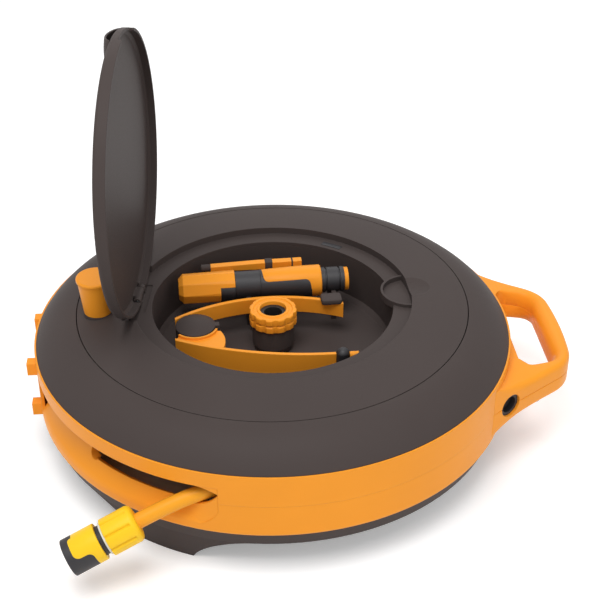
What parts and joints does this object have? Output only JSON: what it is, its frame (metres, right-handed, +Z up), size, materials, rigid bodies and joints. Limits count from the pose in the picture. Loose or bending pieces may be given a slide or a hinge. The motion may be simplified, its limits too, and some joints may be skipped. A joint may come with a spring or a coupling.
{
  "type": "hose reel",
  "caption": "Flat round garden hose reel on feet: hose drum in a casing with a carrying handle, turning top with a winding knob, and a lidded tray of watering fittings.",
  "frame": {"origin": "on the ground under the middle of the object's box, without the free hose end", "axes": "+X towards the carrying handle, +Z up out of the turning top"},
  "size_m": [0.492, 0.4545, 0.3782],
  "materials": {
    "charcoal_plastic": "fine satin grain",
    "orange_plastic": "satin moulded plastic",
    "black_soft_plastic": "matt soft-touch plastic",
    "yellow_plastic": "satin moulded plastic",
    "pale_plastic": "plain moulded plastic",
    "hose": "smooth flexible hose",
    "natural_plastic": "plain moulded plastic",
    "steel": "zinc plated",
    "seal_rubber": "moulded rubber"
  },
  "bodies": {
    "casing": {"base": "charcoal_plastic", "lower_shell": "orange_plastic", "upper_shell": "orange_plastic", "lower_handle": "orange_plastic", "upper_handle": "orange_plastic", "base_screws": "steel", "handle_screws": "steel", "top_ring": "charcoal_plastic", "spindle": "natural_plastic", "spindle_seals": "seal_rubber", "hub_washer": "steel", "hub_screw": "steel", "inlet_bush": "black_soft_plastic", "inlet_pipe": "charcoal_plastic", "hose_end": "hose", "hose_nut": "yellow_plastic", "connector_core": "black_soft_plastic", "connector_ring": "pale_plastic"},
    "drum": {"drum": "natural_plastic", "upper_flange": "natural_plastic", "drum_outlet": "natural_plastic", "hose_outer_turns": "hose", "hose_inner_layers": "hose", "top_disc": "charcoal_plastic", "tray": "charcoal_plastic", "hinge_pin": "steel", "knob_stud": "steel", "nozzle_band": "black_soft_plastic", "nozzle_body": "orange_plastic", "nozzle_grip": "black_soft_plastic", "nozzle_collar": "black_soft_plastic", "nozzle_tip": "orange_plastic", "tap_ring": "orange_plastic", "tap_body": "charcoal_plastic", "tap_washer": "seal_rubber", "sprinkler_hub": "charcoal_plastic", "sprinkler_rear_arm": "orange_plastic", "sprinkler_front_arm": "orange_plastic", "sprinkler_clip": "charcoal_plastic", "sprinkler_swivel": "black_soft_plastic", "sprinkler_jet": "orange_plastic", "spike_bar": "orange_plastic", "spike_tip": "charcoal_plastic"},
    "lid": {"lid": "charcoal_plastic"},
    "knob": {"winding_knob": "orange_plastic", "knob_cap": "orange_plastic"},
    "spray_head": {"nozzle_head": "orange_plastic"},
    "sleeve": {"release_sleeve": "yellow_plastic", "sleeve_grip": "black_soft_plastic"}
  },
  "joints": [
    {"name": "drum_spin", "type": "hinge", "parent": "casing", "child": "drum", "pos_m": [-0.025, 0, 0.05], "axis": [0, 0, 1], "continuous": true},
    {"name": "lid_hinge", "type": "hinge", "parent": "drum", "child": "lid", "pos_m": [-0.14596, 0.01592, 0.1322], "axis": [0.1305, 0.9914, 0], "range_deg": [0, 90]},
    {"name": "knob_spin", "type": "hinge", "parent": "drum", "child": "knob", "pos_m": [-0.18162, -0.01095, 0.15], "axis": [0, 0, 1], "continuous": true},
    {"name": "spray_twist", "type": "hinge", "parent": "drum", "child": "spray_head", "pos_m": [-0.0873, 0.04922, 0.116], "axis": [0.999, 0.0454, 0], "range_deg": [0, 180]},
    {"name": "sleeve_release", "type": "slide", "parent": "casing", "child": "sleeve", "axis": [0.9051, 0.252, 0.3425], "range_m": [0, 0.0035], "stiffness_N_per_m": 2000}
  ]
}
